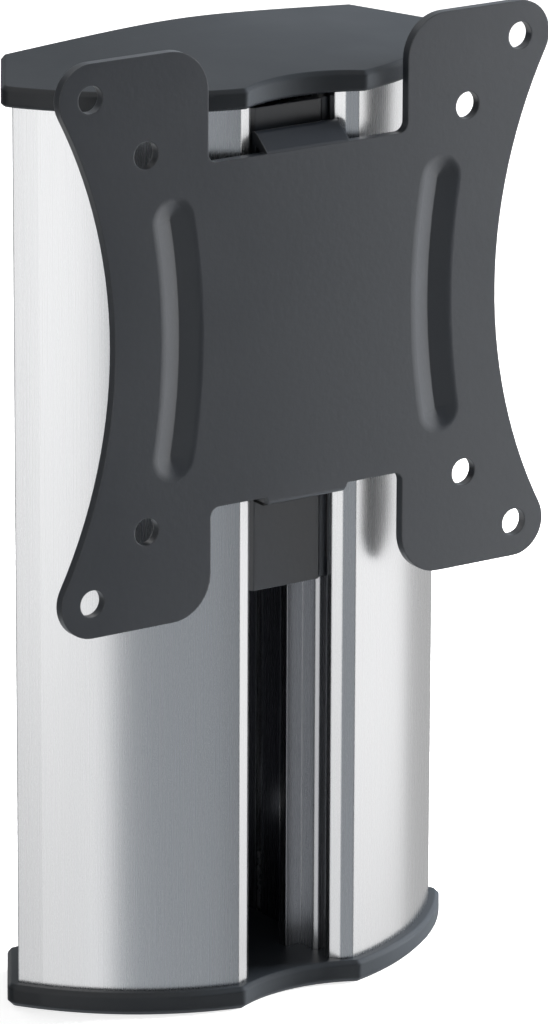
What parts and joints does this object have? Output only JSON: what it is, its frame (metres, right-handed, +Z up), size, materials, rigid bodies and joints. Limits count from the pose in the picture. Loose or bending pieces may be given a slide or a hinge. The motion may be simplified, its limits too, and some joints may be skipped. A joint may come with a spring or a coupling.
{
  "type": "tv wall mount",
  "caption": "Slim wall column for a small flat screen: extruded body with a front channel, end caps, sliding carrier and a hook-on plate for VESA 75 and 100.",
  "frame": {"origin": "middle of the column's back face, where it lies on the wall", "axes": "+Z up along the column, +Y into the wall, the screen plate faces -Y, +X to the right seen from the front"},
  "size_m": [0.114, 0.046, 0.1984],
  "materials": {
    "anodised_aluminium": "satin, anodised, brushed along its length",
    "slate_plastic": "fine moulded texture",
    "dark_powder_coat": "satin powder coat",
    "zinc_steel": "zinc plated",
    "glide_plastic": "smooth",
    "black_rubber": "matt"
  },
  "bodies": {
    "column": {"column_profile": "anodised_aluminium", "top_cap": "slate_plastic", "bottom_cap": "slate_plastic", "cap_screw_left": "zinc_steel", "cap_screw_right": "zinc_steel"},
    "carrier": {"carrier_plate": "dark_powder_coat", "hanger_bracket": "dark_powder_coat", "hanger_rivet_left": "zinc_steel", "hanger_rivet_right": "zinc_steel", "glide_shoe_upper_left": "glide_plastic", "glide_shoe_upper_right": "glide_plastic", "glide_shoe_lower_left": "glide_plastic", "glide_shoe_lower_right": "glide_plastic", "slot_nut_upper": "zinc_steel", "slot_nut_lower": "zinc_steel", "clamp_washer_upper": "zinc_steel", "clamp_washer_lower": "zinc_steel"},
    "screen_plate": {"vesa_plate": "dark_powder_coat", "flange_bumper": "black_rubber"},
    "upper_clamp": {"clamp_screw_upper": "zinc_steel"},
    "lower_clamp": {"clamp_screw_lower": "zinc_steel"}
  },
  "joints": [
    {"name": "carrier_height", "type": "slide", "parent": "column", "child": "carrier", "axis": [0, 0, 1], "range_m": [-0.078, 0]},
    {"name": "plate_lift", "type": "slide", "parent": "carrier", "child": "screen_plate", "axis": [0, 0, 1], "range_m": [0, 0.0043]},
    {"name": "upper_clamp_turn", "type": "hinge", "parent": "carrier", "child": "upper_clamp", "pos_m": [0, -0.039, 0.0495], "axis": [0, -1, 0], "range_deg": [0, 360]},
    {"name": "lower_clamp_turn", "type": "hinge", "parent": "carrier", "child": "lower_clamp", "pos_m": [0, -0.039, 0.024], "axis": [0, -1, 0], "range_deg": [0, 360]}
  ]
}
